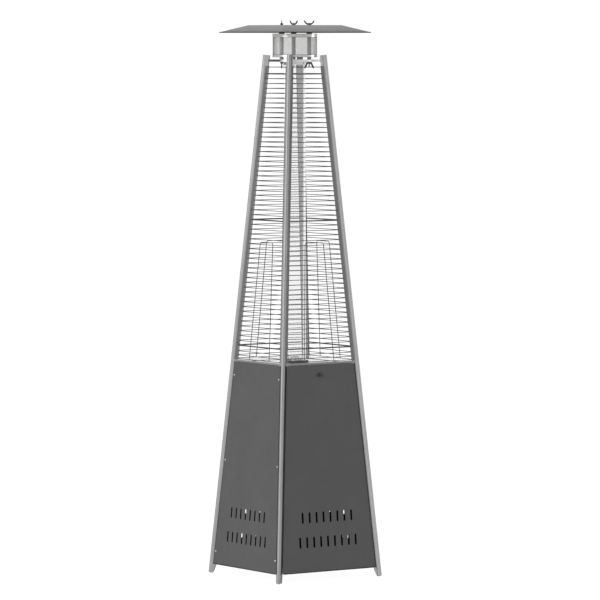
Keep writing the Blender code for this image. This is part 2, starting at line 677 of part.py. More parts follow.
def wing_nut(name, matrix, scale=1.0):
    """A tapered boss with two curved wings that rise from it; local Z points to the wing tips."""
    bore = STUD_RADIUS + GAP
    nut = turned(name, [(bore, 0.0075), (0.0050, 0.0075), (0.0065, 0.0), (bore, 0.0)], steps=16, ring=True,
                 matrix=matrix)
    wing = [(0.0045, 0.0010), (0.0110, 0.0030), (0.0170, 0.0085), (0.0205, 0.0150), (0.0200, 0.0185),
            (0.0172, 0.0180), (0.0135, 0.0115), (0.0090, 0.0075), (0.0045, 0.0065)]
    for sign in (1, -1):
        outline = [(sign * x * scale, y * scale) for x, y in wing]
        sheet = meshed(plate("wing", [outline], 0.0026, matrix @ Matrix.Rotation(math.pi / 2, 4, "X")))
        boolean(nut, as_cutter(sheet), "UNION")
    return finish(nut, STEEL)


def make_head():
    make_top_plate()
    make_flame_screen()
    bm = bmesh.new()
    bmesh.ops.create_cone(bm, segments=4, radius1=REFLECTOR_HALF * math.sqrt(2),
                          radius2=REFLECTOR_FLAT_HALF * math.sqrt(2), depth=REFLECTOR_FLAT - REFLECTOR_RIM,
                          cap_ends=True)
    bmesh.ops.delete(bm, geom=[face for face in bm.faces if face.normal.z < -0.9], context="FACES")
    matrix = (Matrix.Translation((0, 0, (REFLECTOR_FLAT + REFLECTOR_RIM) / 2))
              @ Matrix.Rotation(math.pi / 4, 4, "Z"))
    reflector = object_from(bm, "reflector", matrix)
    sheet = reflector.modifiers.new("sheet", "SOLIDIFY")
    sheet.thickness = REFLECTOR_SHEET
    sheet.offset = -1.0
    sheet.use_even_offset = True
    spacer_top = REFLECTOR_FLAT - REFLECTOR_SHEET - GAP
    spacer_low = PLATE_LOW + PLATE_THICKNESS + GAP
    for number, (x, y, angle) in enumerate(stud_places(), start=1):
        boolean(reflector, as_cutter(cylinder("stud_hole", STUD_RADIUS + 2 * GAP,
                                              (x, y, REFLECTOR_RIM), (x, y, REFLECTOR_FLAT + 0.01), 16)))
        here = Matrix.Translation((x, y, 0.0))
        stud = turned("head_stud_%d" % number,
                      [(0.0, STUD_TOP), (STUD_RADIUS, STUD_TOP), (STUD_RADIUS, spacer_top),
                       (SPACER_RADIUS, spacer_top), (SPACER_RADIUS, spacer_low), (STUD_RADIUS, spacer_low),
                       (STUD_RADIUS, STUD_LOW), (0.0, STUD_LOW)], steps=20, matrix=here)
        finish(stud, STEEL)
        upper = Matrix.Rotation(math.radians(angle + UPPER_WING_TURNS[number - 1]), 4, "Z")
        lower = Matrix.Rotation(math.radians(angle + LOWER_WING_TURNS[number - 1]), 4, "Z")
        wing_nut("upper_wing_nut_%d" % number, Matrix.Translation((x, y, REFLECTOR_FLAT + GAP)) @ upper)
        wing_nut("lower_wing_nut_%d" % number,
                 Matrix.Translation((x, y, PLATE_LOW - GAP)) @ lower @ Matrix.Rotation(math.pi, 4, "X"),
                 LOWER_WING_SCALE)
    finish(reflector, REFLECTOR_STEEL)


# ---------------------------------------------------------------- wheels
def make_wheels():
    head = WHEEL_X + WHEEL_WIDTH / 2 + GAP
    bracket = box("wheel_bracket", (-WHEEL_X, WHEEL_Y - 0.018, SHELF_Z - GAP - 0.0020),
                  (WHEEL_X, WHEEL_Y + 0.010, SHELF_Z - GAP))
    for sign in (-1, 1):
        near = sign * (WHEEL_X - WHEEL_WIDTH / 2 - 0.0030)
        far = sign * (WHEEL_X - WHEEL_WIDTH / 2 - 0.0010)
        ear = box("bracket_ear", (min(near, far), WHEEL_Y - 0.008, AXLE_Z - 0.008),
                  (max(near, far), WHEEL_Y + 0.008, SHELF_Z - GAP - 0.0010))
        boolean(bracket, as_cutter(ear), "UNION")
        cap = cylinder("axle_head", 0.0065, (sign * head, WHEEL_Y, AXLE_Z),
                       (sign * (head + 0.0025), WHEEL_Y, AXLE_Z), 20)
        boolean(bracket, as_cutter(cap), "UNION")
    end = head + 0.001
    rod = cylinder("axle", AXLE_RADIUS, (-end, WHEEL_Y, AXLE_Z), (end, WHEEL_Y, AXLE_Z), 20)
    boolean(bracket, as_cutter(rod), "UNION")
    finish(bracket, STEEL)
    half = WHEEL_WIDTH / 2
    bore = AXLE_RADIUS + GAP
    for name, x in (("wheel_left", -WHEEL_X), ("wheel_right", WHEEL_X)):
        matrix = Matrix.Translation((x, WHEEL_Y, AXLE_Z)) @ Matrix.Rotation(math.pi / 2, 4, "Y")
        outer = [(bore, half), (0.010, half), (0.017, half - 0.003), (WHEEL_RADIUS - 0.003, half),
                 (WHEEL_RADIUS, half - 0.003)]
        profile = outer + [(radius, -height) for radius, height in reversed(outer)]
        wheel = turned(name, profile, steps=24, ring=True, matrix=matrix)
        finish(wheel, RUBBER)


make_posts()
make_panels()
make_door()
make_latch()
make_trays()
make_guards()
make_flame_tube()
make_burner()
make_controls()
make_head()
make_wheels()
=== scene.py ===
import json
import math

import bmesh
import bpy
from mathutils import Matrix, Vector


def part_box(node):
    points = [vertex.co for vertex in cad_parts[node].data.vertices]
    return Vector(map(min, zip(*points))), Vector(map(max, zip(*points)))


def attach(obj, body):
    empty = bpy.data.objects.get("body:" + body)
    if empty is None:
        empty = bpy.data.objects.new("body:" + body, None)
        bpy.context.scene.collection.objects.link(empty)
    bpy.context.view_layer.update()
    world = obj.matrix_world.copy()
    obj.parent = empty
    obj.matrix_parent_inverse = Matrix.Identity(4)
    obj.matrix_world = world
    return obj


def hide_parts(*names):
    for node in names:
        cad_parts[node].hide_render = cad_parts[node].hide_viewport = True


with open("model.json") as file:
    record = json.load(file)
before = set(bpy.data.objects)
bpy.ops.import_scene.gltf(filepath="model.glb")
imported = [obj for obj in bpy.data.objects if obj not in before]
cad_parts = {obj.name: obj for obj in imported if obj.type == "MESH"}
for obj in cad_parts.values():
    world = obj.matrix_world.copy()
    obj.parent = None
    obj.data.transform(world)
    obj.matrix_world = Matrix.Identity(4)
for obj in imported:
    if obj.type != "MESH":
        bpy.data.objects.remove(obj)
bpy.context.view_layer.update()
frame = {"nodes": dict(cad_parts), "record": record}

# ---------------------------------------------------------------- sizes, metres
BASE_HALF = 0.2525            # half the width across the post noses, at the floor
FACE_SLOPE = 0.0764           # how far each face leans in, per metre of height
LEAN = math.atan(FACE_SLOPE)
NOSE_DEPTH = 0.017            # from a post's nose back to its wider body
BODY_HALF = 0.012
POST_DEPTH = 0.027
PANEL_DEPTH = 0.0048          # depths are behind the plane that touches two post noses
PANEL_LOW, PANEL_HIGH = 0.0370, 0.8625
PANEL_EDGE, DOOR_LOW_EDGE = 0.0232, 0.0275    # a panel's and the door's foot stop this short of a corner
HEM_RADIUS = 0.0014
HEM_RISE = 0.0004             # of the hem's centre above the panel's edge
HEM_DEPTH = 0.0032
TRAY_DEPTH, TRAY_FLOOR = 0.0059, 0.8577
SHEET = 0.0012
REFLECTOR_LOW, REFLECTOR_HIGH = 2.190, 2.214
GRILLE_DEPTH = 0.0092
GRILLE_EDGE = 0.0276
WIRE_RADIUS = 0.0014
BAR_RADIUS = 0.0027
BAR_HEIGHTS = (2.023, 1.4355, 0.927)
WIRES_BETWEEN_BARS = (29, 25)
LONE_WIRES = (2.0500, 0.9045, 0.8880, 0.8738)
STRIP_LOW, STRIP_HIGH = 0.8712, 2.054
STRIP_THICKNESS = 0.0025
STRIP_FRONT, STRIP_BACK = 0.0165, 0.028
STUD_CIRCLE = 0.064
GAP = 0.0003                  # between parts that would touch

SIDES = {"front": 0.0, "right": 90.0, "back": 180.0, "left": 270.0}


# ---------------------------------------------------------------- materials
class Look:
    """A material's node tree, with a short call for each node that the looks share."""

    def __init__(self, name):
        self.material = bpy.data.materials.new(name)
        self.material.use_nodes = True
        self.tree = self.material.node_tree
        self.shader = self.tree.nodes["Principled BSDF"]
        self.coordinates = self.node("ShaderNodeTexCoord").outputs["Object"]

    def node(self, kind, **settings):
        made = self.tree.nodes.new(kind)
        for key, value in settings.items():
            setattr(made, key, value)
        return made

    def link(self, source, target):
        self.tree.links.new(source, target)

    def set(self, **values):
        for key, value in values.items():
            self.shader.inputs[key.replace("_", " ")].default_value = value

    def noise(self, scale, detail=4.0, stretch=(1.0, 1.0, 1.0)):
        mapping = self.node("ShaderNodeMapping")
        mapping.inputs["Scale"].default_value = stretch
        self.link(self.coordinates, mapping.inputs["Vector"])
        texture = self.node("ShaderNodeTexNoise")
        texture.inputs["Scale"].default_value = scale
        texture.inputs["Detail"].default_value = detail
        self.link(mapping.outputs["Vector"], texture.inputs["Vector"])
        return texture.outputs["Fac"]

    def spread(self, value, low, high, start=0.3, end=0.7):
        made = self.node("ShaderNodeMapRange")
        for key, number in (("From Min", start), ("From Max", end), ("To Min", low), ("To Max", high)):
            made.inputs[key].default_value = number
        self.link(value, made.inputs["Value"])
        return made.outputs["Result"]

    def maths(self, operation, *values):
        """A Math node; its values are sockets or numbers."""
        made = self.node("ShaderNodeMath", operation=operation)
        for slot, value in zip(made.inputs, values):
            if isinstance(value, (int, float)):
                slot.default_value = value
            else:
                self.link(value, slot)
        return made.outputs["Value"]

    def axes(self):
        parts = self.node("ShaderNodeSeparateXYZ")
        self.link(self.coordinates, parts.inputs["Vector"])
        return parts.outputs["X"], parts.outputs["Y"], parts.outputs["Z"]

    def ramp(self, value, dark, light):
        ramp = self.node("ShaderNodeValToRGB")
        ramp.color_ramp.elements[0].position, ramp.color_ramp.elements[1].position = 0.3, 0.7
        ramp.color_ramp.elements[0].color = (*dark, 1.0)
        ramp.color_ramp.elements[1].color = (*light, 1.0)
        self.link(value, ramp.inputs["Fac"])
        return ramp.outputs["Color"]

    def paint(self, colour):
        self.link(colour, self.shader.inputs["Base Color"])

    def colour(self, value, dark, light):
        self.paint(self.ramp(value, dark, light))

    def mix(self, mask, first, second):
        """The first colour where the mask is 0 and the second where it is 1."""
        made = self.node("ShaderNodeMix", data_type="RGBA")
        self.link(mask, made.inputs[0])
        self.link(first, made.inputs[6])
        self.link(second, made.inputs[7])
        return made.outputs[2]

    def glow(self, strength):
        """White emission whose strength follows a socket: a painted reflection of bright surroundings,
        glowing though no lamp.
        """
        self.set(Emission_Color=(1.0, 1.0, 1.0, 1.0))
        self.link(strength, self.shader.inputs["Emission Strength"])

    def rough(self, value, low, high):
        self.link(self.spread(value, low, high), self.shader.inputs["Roughness"])

    def bump(self, value, distance, strength=0.5):
        made = self.node("ShaderNodeBump")
        made.inputs["Strength"].default_value = strength
        made.inputs["Distance"].default_value = distance
        self.link(value, made.inputs["Height"])
        self.link(made.outputs["Normal"], self.shader.inputs["Normal"])


def tone(value, share=0.12, warm=0.0):
    """A dark and a light grey around a value."""
    low, high = value * (1 - share), value * (1 + share)
    return (low * (1 + warm), low, low * (1 - warm)), (high * (1 + warm), high, high * (1 - warm))


def scratches(look, along="z", roughness=0.38, metallic=0.85):
    """Fine scratches that run one way."""
    stretch = {"x": (0.02, 1.0, 1.0), "z": (1.0, 1.0, 0.02)}[along]
    marks = look.noise(1600.0, 3.0, stretch)
    look.rough(marks, roughness - 0.06, roughness + 0.10)
    look.bump(marks, 0.00012, 0.35)
    look.set(Metallic=metallic)


def brushed(name, value, along="z", roughness=0.38, metallic=0.85, warm=0.0):
    """Scratched metal with a slow change of shade."""
    look = Look(name)
    look.colour(look.noise(7.0, 3.0), *tone(value, 0.06, warm))
    scratches(look, along, roughness, metallic)
    return look.material


def post_steel(name, lightness=1.0):
    """Brushed steel; the body behind the nose is dark where it stands beside the panels, a painted shade."""
    look = Look(name)
    scratches(look, roughness=0.50, metallic=0.68)
    x, y, z = look.axes()
    across = look.maths("ADD", look.maths("ABSOLUTE", x), look.maths("ABSOLUTE", y))
    tip = look.maths("MULTIPLY_ADD", z, -FACE_SLOPE * math.sqrt(2), BASE_HALF * math.sqrt(2))
    depth = look.maths("MULTIPLY_ADD", across, -math.sqrt(0.5), tip)
    body = look.maths("GREATER_THAN", depth, NOSE_DEPTH - GAP)
    # painted shade: the body is dark beside the panels, where they shade it
    beside = look.maths("COMPARE", z, (PANEL_HIGH + PANEL_LOW) / 2, (PANEL_HIGH - PANEL_LOW) / 2)
    shade = look.noise(7.0, 3.0)
    look.paint(look.mix(look.maths("MULTIPLY", body, beside),
                        look.ramp(shade, *tone(0.33 * lightness, 0.06)),
                        look.ramp(shade, *tone(0.05, 0.06))))
    return look.material


def reflector_steel(name):
    """Satin sheet with painted shade: a little darker and warmer towards the rim."""
    look = Look(name)
    scratches(look, along="x", roughness=0.42, metallic=0.75)
    height = look.spread(look.axes()[2], 0.0, 1.0, start=REFLECTOR_LOW, end=REFLECTOR_HIGH)
    shade = look.noise(7.0, 3.0)
    look.paint(look.mix(height, look.ramp(shade, *tone(0.33, 0.06, 0.02)),
                        look.ramp(shade, *tone(0.46, 0.06, 0.012))))
    return look.material


def coat(look, roughness=0.55, grain=0.00010):
    """A fine orange-peel grain and faint handling marks."""
    look.rough(look.noise(30.0, 6.0), roughness - 0.05, roughness + 0.07)
    look.bump(look.noise(900.0, 2.0), grain, 0.45)
    look.set(Specular_IOR_Level=0.35)


def powder_coat(name, value, roughness=0.55, grain=0.00010):
    """Baked paint in one grey."""
    look = Look(name)
    look.colour(look.noise(9.0, 5.0), *tone(value, 0.05))
    coat(look, roughness, grain)
    return look.material


def depth_behind_noses(look):
    """How far a point lies inside the nearest of the four planes that touch the post noses."""
    x, y, z = look.axes()
    reach = look.maths("MAXIMUM", look.maths("ABSOLUTE", x), look.maths("ABSOLUTE", y))
    return look.maths("SUBTRACT", BASE_HALF, look.maths("MULTIPLY_ADD", z, FACE_SLOPE, reach))


def panel_paint(name):
    """Powder coat on the outside of the cabinet, and a near-black painted shade inside it."""
    look = Look(name)
    coat(look)
    # painted shade: everything behind the outer sheet is near black
    outside = look.maths("LESS_THAN", depth_behind_noses(look), PANEL_DEPTH)
    shade = look.noise(9.0, 5.0)
    look.paint(look.mix(outside, look.ramp(shade, *tone(0.004, 0.2)), look.ramp(shade, *tone(0.0745, 0.05))))
    return look.material


def tray_steel(name):
    """A satin rim whose dark tone runs on over the floor's outer band as painted shade, around an inside
    whose light colour and white glow are a painted reflection of the bright surroundings.
    """
    look = Look(name)
    scratches(look, along="x", roughness=0.36, metallic=0.35)
    depth = depth_behind_noses(look)
    # painted shade on the floor's outer band; painted reflection, light and glowing, further inside
    floor = look.spread(depth, 0.0, 1.0, start=0.007, end=0.024)
    wall = look.maths("MULTIPLY", look.maths("GREATER_THAN", depth, TRAY_DEPTH + SHEET / 2),
                      look.maths("GREATER_THAN", look.axes()[2], TRAY_FLOOR + 0.002))
    inside = look.maths("MAXIMUM", floor, wall)
    shade = look.noise(120.0, 4.0)
    look.paint(look.mix(inside, look.ramp(shade, *tone(0.25, 0.08)), look.ramp(shade, *tone(0.85, 0.04))))
    look.glow(look.spread(inside, 0.0, 0.34, start=0.0, end=1.0))
    return look.material


def head_plate(name):
    """Bright sheet with painted shade: it turns dark towards the left corner of the frame."""
    look = Look(name)
    scratches(look, along="x", roughness=0.32, metallic=0.5)
    x, y, _ = look.axes()
    across = look.maths("SUBTRACT", x, y)
    lit = look.spread(across, 0.0, 1.0, start=-0.075, end=-0.045)
    shade = look.noise(60.0, 3.0)
    look.paint(look.mix(lit, look.ramp(shade, *tone(0.07, 0.1)), look.ramp(shade, *tone(0.78, 0.05))))
    return look.material


def moulded(name, value, roughness=0.45):
    """Moulded plastic or rubber with a fine stipple."""
    look = Look(name)
    look.colour(look.noise(60.0, 3.0), *tone(value, 0.15))
    look.rough(look.noise(220.0, 4.0), roughness - 0.06, roughness + 0.08)
    look.bump(look.noise(2600.0, 2.0), 0.00006, 0.5)
    return look.material


def plated(name, value, colour=(1.0, 1.0, 0.99), roughness=0.22, metallic=1.0):
    """Plated or machined metal with fine marks."""
    look = Look(name)
    dark = tuple(value * 0.88 * part for part in colour)
    light = tuple(value * 1.08 * part for part in colour)
    look.colour(look.noise(120.0, 4.0), dark, light)
    look.rough(look.noise(400.0, 5.0), roughness - 0.05, roughness + 0.12)
    look.bump(look.noise(1500.0, 3.0), 0.00004, 0.4)
    look.set(Metallic=metallic)
    return look.material


def clear_glass(name):
    """Clear tube glass: thin and greyish face on, whitish and dense where the wall is seen edge on; the
    whitish edges and their white glow are a painted reflection.
    """
    look = Look(name)
    look.rough(look.noise(18.0, 3.0, (1.0, 1.0, 0.1)), 0.05, 0.09)
    weight = look.node("ShaderNodeLayerWeight")
    weight.inputs["Blend"].default_value = 0.5
    edge = look.spread(weight.outputs["Facing"], 0.0, 1.0, start=0.32, end=0.50)
    streaks = look.noise(60.0, 3.0, (1.0, 1.0, 0.05))
    look.paint(look.mix(edge, look.ramp(streaks, *tone(0.60, 0.05)), look.ramp(streaks, *tone(0.92, 0.03))))
    look.link(look.spread(edge, 0.09, 0.50, start=0.0, end=1.0), look.shader.inputs["Alpha"])
    look.glow(look.spread(edge, 0.06, 0.26, start=0.0, end=1.0))
    return look.material


def floor_look():
    """A white sweep that glows, so that hardly a shadow shows."""
    look = Look("floor")
    look.colour(look.noise(3.0, 3.0), *tone(0.11, 1 / 11))
    look.rough(look.noise(20.0, 3.0), 0.85, 0.95)
    look.set(Specular_IOR_Level=0.0, Emission_Color=(1.0, 1.0, 1.0, 1.0), Emission_Strength=0.975)
    return look.material


LOOKS = {
    "post_steel": post_steel("post_steel"),
    # painted light: a quarter lighter copy of the post steel
    "painted_light_post_steel": post_steel("painted_light_post_steel", lightness=1.25),
    "panel_paint": panel_paint("panel_paint"),
    # on the panel hems this dark paint is painted shade along the bottom edge
    "hem_paint": powder_coat("hem_paint", 0.014, roughness=0.6),
    "strip_paint": powder_coat("strip_paint", 0.13, roughness=0.45),
    "guard_paint": powder_coat("guard_paint", 0.055, roughness=0.42, grain=0.00005),
    "reflector_steel": reflector_steel("reflector_steel"),
    # painted shade: a dark copy of the reflector steel for the lip under the rim
    "painted_shade_hem_steel": brushed("painted_shade_hem_steel", 0.02, along="x", roughness=0.5, metallic=0.6, warm=0.02),
    "tray_steel": tray_steel("tray_steel"),
    "head_plate": head_plate("head_plate"),
    "head_steel": plated("head_steel", 0.78, roughness=0.30, metallic=0.5),
    "satin_steel": plated("satin_steel", 0.30, roughness=0.34, metallic=0.85),
    "bright_steel": plated("bright_steel", 0.60, roughness=0.26, metallic=0.9),
    "dark_zinc": plated("dark_zinc", 0.085, roughness=0.38, metallic=0.7),
    "screen_steel": plated("screen_steel", 0.50, colour=(1.0, 0.99, 0.97), roughness=0.32, metallic=0.7),
    "spacer_steel": brushed("spacer_steel", 0.26, roughness=0.42, metallic=0.7),
    "tube_glass": clear_glass("tube_glass"),
    "black_plastic": moulded("black_plastic", 0.022),
    "black_collar": moulded("black_collar", 0.030, roughness=0.5),
    "brass": plated("brass", 0.75, colour=(1.0, 0.78, 0.38), roughness=0.28),
    "ceramic": moulded("ceramic", 0.72, roughness=0.3),
    "rubber": moulded("rubber", 0.020, roughness=0.75),
}
NODE_LOOKS = {
    "top_plate": "head_plate",
    "glass_top_collar": "head_steel",
    "burner_tray": "tray_steel",
    "door_hinge_rod": "hem_paint",
    "wheel_bracket": "satin_steel",
    "thermocouple": "satin_steel",
    # painted light: the front right posts take the lighter copy of the post steel
    "lower_post_front_right": "painted_light_post_steel",
    "upper_post_front_right": "painted_light_post_steel",
}


def dress(item, look):
    """Gives the item the look as its only material."""
    item.data.materials.clear()
    item.data.materials.append(LOOKS[look])
    return item


def dress_cad_nodes():
    """Each node takes the look of its material slot, or its own from NODE_LOOKS."""
    for entry in frame["record"]["subparts"]:
        node = frame["nodes"][entry["node"]]
        look = NODE_LOOKS.get(entry["node"], entry["material_slot"])
        for index in range(len(node.data.materials)):
            node.data.materials[index] = LOOKS[look]
        node.data.shade_smooth()
        node.data.set_sharp_from_angle(angle=math.radians(32))


# ---------------------------------------------------------------- shape helpers
def add(name, data, matrix=Matrix.Identity(4)):
    item = bpy.data.objects.new(name, data)
    item.matrix_world = matrix
    bpy.context.scene.collection.objects.link(item)
    return item


def mesh_from(bm, name, matrix=Matrix.Identity(4), smooth_angle=40):
    mesh = bpy.data.meshes.new(name)
    bm.to_mesh(mesh)
    bm.free()
    mesh.shade_smooth()
    mesh.set_sharp_from_angle(angle=math.radians(smooth_angle))
    return add(name, mesh, matrix)


def put_cylinder(bm, start, end, radius, segments=10):
    start, end = Vector(start), Vector(end)
    along = end - start
    matrix = Matrix.Translation((start + end) / 2) @ along.to_track_quat("Z", "Y").to_matrix().to_4x4()
    bmesh.ops.create_cone(bm, cap_ends=True, segments=segments, radius1=radius, radius2=radius,
                          depth=along.length, matrix=matrix)


def put_turned(bm, profile, matrix=Matrix.Identity(4), steps=32, ring=False):
    """Turns a profile of (radius, height) points about Z into the mesh."""
    rows = []
    for radius, height in profile:
        if radius < 1e-7:
            rows.append([bm.verts.new(matrix @ Vector((0, 0, height)))] * steps)
            continue
        angles = (2 * math.pi * step / steps for step in range(steps))
        rows.append([bm.verts.new(matrix @ Vector((radius * math.cos(a), radius * math.sin(a), height)))
                     for a in angles])
    for first, second in zip(rows, rows[1:] + rows[:1] if ring else rows[1:]):
        for step in range(steps):
            after = (step + 1) % steps
            corners = [first[step], second[step], second[after], first[after]]
            unique = list(dict.fromkeys(corners))
            if len(unique) > 2:
                bm.faces.new(unique)
    bmesh.ops.recalc_face_normals(bm, faces=bm.faces)


def turned(name, profile, matrix=Matrix.Identity(4), steps=32, ring=False, smooth_angle=40):
    bm = bmesh.new()
    put_turned(bm, profile, Matrix.Identity(4), steps, ring)
    return mesh_from(bm, name, matrix, smooth_angle)


def arc(centre, radius, start_degrees, end_degrees, steps):
    turn = (end_degrees - start_degrees) / steps
    angles = (math.radians(start_degrees + turn * step) for step in range(steps + 1))
    return [(centre[0] + radius * math.cos(a), centre[1] + radius * math.sin(a)) for a in angles]


def face_half(z):
    return BASE_HALF - FACE_SLOPE * z


def face_matrix(side, depth):
    """Local X along the face, local Y up its slope, local Z outwards; depth is from the noses' plane."""
    turn = Matrix.Rotation(math.radians(SIDES[side]), 4, "Z")
    return turn @ Matrix.Translation((0, depth - BASE_HALF, 0)) @ Matrix.Rotation(math.pi / 2 - LEAN, 4, "X")


def corner_matrix(heading):
    return Matrix.Rotation(math.radians(heading - 135.0), 4, "Z")


def slope(x, z):
    """A point of a face in its local frame, given by its height in the world."""
    return Vector((x, z / math.cos(LEAN), 0.0))


def put_leaning_bar(bm, section, low, high, matrix):
    """A section of (depth behind the nose, offset across) swept up along a post."""
    diagonal, inward = BASE_HALF * math.sqrt(2), FACE_SLOPE * math.sqrt(2)
    rings = []
    for z in (low, high):
        rings.append([bm.verts.new(matrix @ Vector((diagonal - inward * z - depth, across, z)))
                      for depth, across in section])
    count = len(section)
    faces = [bm.faces.new(rings[0]), bm.faces.new(rings[1])]
    for index in range(count):
        after = (index + 1) % count
        faces.append(bm.faces.new([rings[0][index], rings[0][after], rings[1][after], rings[1][index]]))
    bmesh.ops.recalc_face_normals(bm, faces=faces)


# ---------------------------------------------------------------- guards
def bar_centres():
    bars = [(z, WIRE_RADIUS) for z in LONE_WIRES] + [(z, BAR_RADIUS) for z in BAR_HEIGHTS]
    for upper, lower, count in zip(BAR_HEIGHTS, BAR_HEIGHTS[1:], WIRES_BETWEEN_BARS):
        pitch = (upper - lower) / (count + 1)
        bars += [(upper - pitch * (index + 1), WIRE_RADIUS) for index in range(count)]
    return sorted(bars)


def make_guards():
    """Round wires welded between side strips that stand along the posts."""
    near, far = BODY_HALF + GAP, BODY_HALF + GAP + STRIP_THICKNESS
    for side, heading in SIDES.items():
        bm, strips = bmesh.new(), bmesh.new()
        matrix = face_matrix(side, GRILLE_DEPTH)
        for z, radius in bar_centres():
            reach = face_half(z) - GRILLE_EDGE
            put_cylinder(bm, matrix @ slope(-reach, z), matrix @ slope(reach, z), radius,
                         8 if radius < BAR_RADIUS else 12)
        for corner_heading, sign in ((heading, 1), (heading + 90.0, -1)):
            section = [(STRIP_FRONT, sign * near), (STRIP_FRONT, sign * far),
                       (STRIP_BACK, sign * far), (STRIP_BACK, sign * near)]
            put_leaning_bar(strips, section, STRIP_LOW, STRIP_HIGH, corner_matrix(corner_heading))
        guard = dress(mesh_from(bm, "guard_%s_wires" % side), "guard_paint")
        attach(guard, "frame")
        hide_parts("guard_" + side)
        sides = dress(mesh_from(strips, "guard_%s_strips" % side), "strip_paint")
        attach(sides, "frame")


def make_guard_loops():
    """An upside-down U of wire behind each guard."""
    half_top, half_low, top, low = 0.045, 0.0715, 1.347, 0.8730
    bend_radius, wire = 0.010, 0.0015
    for side in SIDES:
        bend = arc((half_top - bend_radius, top - bend_radius), bend_radius, 4, 90, 8)
        right = [(half_low, low)] + bend
        points = [slope(x, z) for x, z in right + [(-x, z) for x, z in reversed(right)]]
        curve = bpy.data.curves.new("guard_loop_%s_wire" % side, "CURVE")
        curve.dimensions = "3D"
        curve.bevel_depth = wire
        curve.bevel_resolution = 3
        curve.use_fill_caps = True
        spline = curve.splines.new("POLY")
        spline.points.add(len(points) - 1)
        for point, place in zip(spline.points, points):
            point.co = (*place, 1.0)
        spline.use_smooth = True
        loop = add(curve.name, curve, face_matrix(side, GRILLE_DEPTH + 0.00125 + wire + GAP))
        dress(loop, "guard_paint")
        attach(loop, "frame")
        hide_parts("guard_loop_" + side)


# ---------------------------------------------------------------- panels
def make_panel_hems():
    """The lower edge of each panel is rolled over a wire."""
    z = PANEL_LOW + HEM_RISE
    for side in SIDES:
        edge = DOOR_LOW_EDGE if side == "front" else PANEL_EDGE
        reach = face_half(z) - edge - HEM_RADIUS
        bm = bmesh.new()
        matrix = face_matrix(side, HEM_DEPTH)
        put_cylinder(bm, matrix @ slope(-reach, z), matrix @ slope(reach, z), HEM_RADIUS, 12)
        # the hem's dark paint is painted shade along the panel's bottom edge
        hem = dress(mesh_from(bm, "panel_hem_" + side), "hem_paint")
        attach(hem, "door" if side == "front" else "frame")


# ---------------------------------------------------------------- screws
def screw_profile(radius, height):
    """A pan head with a round drive recess, from the outside in."""
    dome = [(radius * math.cos(a), height * (0.25 + 0.75 * math.sin(a)))
            for a in (math.radians(step * 15) for step in range(5))]
    recess = radius * 0.42
    return [(0.0, -0.0004), (radius, -0.0004)] + dome + [(recess, height), (recess * 0.85, height * 0.45),
                                                         (0.0, height * 0.40)]


def put_screw(bm, matrix, radius=0.0040, height=0.0022):
    put_turned(bm, screw_profile(radius, height), matrix, steps=16)


def make_panel_screws():
    """Three up each side of a fixed panel; the door has none."""
    heights, edge = (0.8075, 0.462, 0.090), 0.0300
    for side in ("right", "back", "left"):
        bm = bmesh.new()
        matrix = face_matrix(side, PANEL_DEPTH - SHEET / 2)
        for z in heights:
            for sign in (-1, 1):
                put_screw(bm, matrix @ Matrix.Translation(slope(sign * (face_half(z) - edge), z)))
        screws = dress(mesh_from(bm, "panel_screws_" + side), "bright_steel")
        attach(screws, "frame")


def make_guard_screws():
    """Three up each strip, through its wide side."""
    bm = bmesh.new()
    diagonal, inward = BASE_HALF * math.sqrt(2), FACE_SLOPE * math.sqrt(2)
    depth = (NOSE_DEPTH + POST_DEPTH) / 2
    for heading in SIDES.values():
        for z in (0.937, 1.475, 2.008):
            for sign in (-1, 1):
                place = Vector((diagonal - inward * z - depth, sign * (BODY_HALF + GAP + STRIP_THICKNESS), z))
                turn = Matrix.Rotation(-sign * math.pi / 2, 4, "X")
                put_screw(bm, corner_matrix(heading) @ Matrix.Translation(place) @ turn, radius=0.0030)
    screws = dress(mesh_from(bm, "guard_screws"), "dark_zinc")
    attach(screws, "frame")


# ---------------------------------------------------------------- head
def make_flame_screen():
    """A lattice of fine wires that cross in two families, between two plain rims with rolled edges."""
    low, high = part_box("flame_screen")
    columns, rows = 150, 22
    wire, weave, bead = 0.00028, 0.00018, 0.0008
    radius = (high.x - low.x) / 2 - bead
    bands = (("low", low.z, low.z + 0.010), ("top", high.z - 0.014, high.z))
    start, end = bands[0][2] - 0.001, bands[1][1] + 0.001
    tube = bpy.data.curves.new("flame_screen_lattice", "CURVE")
    tube.dimensions = "3D"
    tube.bevel_depth = wire
    tube.bevel_resolution = 0
    for family in (1, -1):
        for column in range(columns):
            spline = tube.splines.new("POLY")
            spline.points.add(rows)
            for row in range(rows + 1):
                angle = 2 * math.pi * (column + family * row * 0.5) / columns
                place = radius + weave * family * (1 if row % 2 else -1)
                z = start + (end - start) * row / rows
                spline.points[row].co = (place * math.cos(angle), place * math.sin(angle), z, 1.0)
    lattice = dress(add("flame_screen_lattice", tube), "screen_steel")
    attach(lattice, "frame")
    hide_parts("flame_screen")
    outer, inner = radius + bead, radius - bead
    for name, band_low, band_high in bands:
        profile = [(outer, band_low + bead), (outer, band_high - bead), (inner, band_high - bead),
                   (inner, band_low + bead)]
        band = turned("flame_screen_rim_" + name, profile, steps=96, ring=True)
        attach(dress(band, "bright_steel"), "frame")
        for label, z in (("a", band_low + bead), ("b", band_high - bead)):
            section = arc((radius, z), bead * 1.1, 0, 330, 11)
            roll = turned("flame_screen_%s_roll_%s" % (name, label), section, steps=96, ring=True)
            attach(dress(roll, "dark_zinc"), "frame")


CURVED_WING = ((0.0046, 0.0012), (0.0105, 0.0030), (0.0165, 0.0082), (0.0200, 0.0148), (0.0196, 0.0180),
               (0.0172, 0.0176), (0.0135, 0.0117), (0.0090, 0.0077), (0.0046, 0.0064))
STRAIGHT_WING = ((0.0046, 0.0006), (0.0092, 0.0012), (0.0146, 0.0110), (0.0206, 0.0238), (0.0192, 0.0258),
                 (0.0164, 0.0252), (0.0112, 0.0166), (0.0078, 0.0098), (0.0046, 0.0072))


